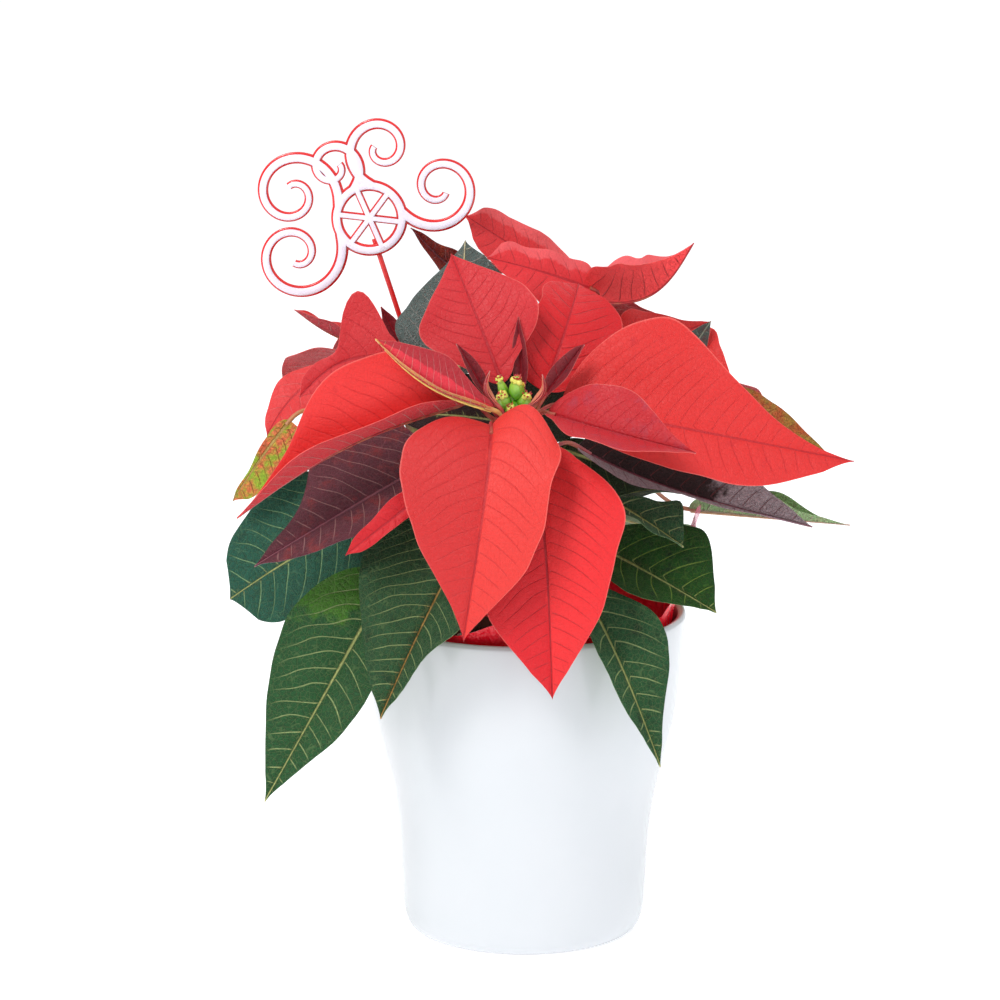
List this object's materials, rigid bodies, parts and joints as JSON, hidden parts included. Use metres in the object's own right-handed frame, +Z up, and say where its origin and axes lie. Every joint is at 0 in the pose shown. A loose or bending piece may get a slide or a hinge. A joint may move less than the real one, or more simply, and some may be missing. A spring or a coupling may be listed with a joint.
{
  "type": "potted poinsettia",
  "caption": "Flowering poinsettia with red bracts and green leaves, standing in a round glazed pot with a foil wrap and a scroll pick.",
  "frame": {"origin": "middle of the pot's flat underside, on the pot's axis", "axes": "+Z up, -Y towards the side that the reference picture shows, +X to the right as seen from there"},
  "size_m": [0.2841, 0.2561, 0.3709],
  "materials": {
    "glaze": "gloss",
    "nursery_plastic": "matte",
    "soil": "rough",
    "foil": "gloss, slightly see-through",
    "pick_red": "satin",
    "pick_white": "satin",
    "bark": "matte",
    "green_leaf": "satin",
    "red_bract": "satin",
    "cyathium": "satin",
    "dark_leaf": "satin",
    "turning_leaf": "satin"
  },
  "bodies": {
    "root": {"pot": "glaze", "nursery_pot": "nursery_plastic", "soil": "soil", "foil_wrap": "foil", "pick_back": "pick_red", "pick_face": "pick_white", "main_stem": "bark", "leafy_stem_front": "green_leaf", "leafy_stem_left": "green_leaf", "leafy_stem_right": "green_leaf", "leafy_stem_rear": "green_leaf", "leafy_stem_crown": "green_leaf", "bloom_front": "red_bract", "bloom_left": "red_bract", "bloom_right": "red_bract", "bloom_rear": "red_bract", "bloom_crown": "red_bract", "cyathia_front": "cyathium", "cyathia_left": "cyathium", "cyathia_right": "cyathium", "cyathia_rear": "cyathium", "cyathia_crown": "cyathium", "dark_leaf_left": "dark_leaf", "dark_leaf_right": "dark_leaf", "dark_leaf_crown": "dark_leaf", "dark_leaf_rear": "dark_leaf", "turning_leaf_left": "turning_leaf", "turning_leaf_right": "turning_leaf"}
  },
  "joints": []
}
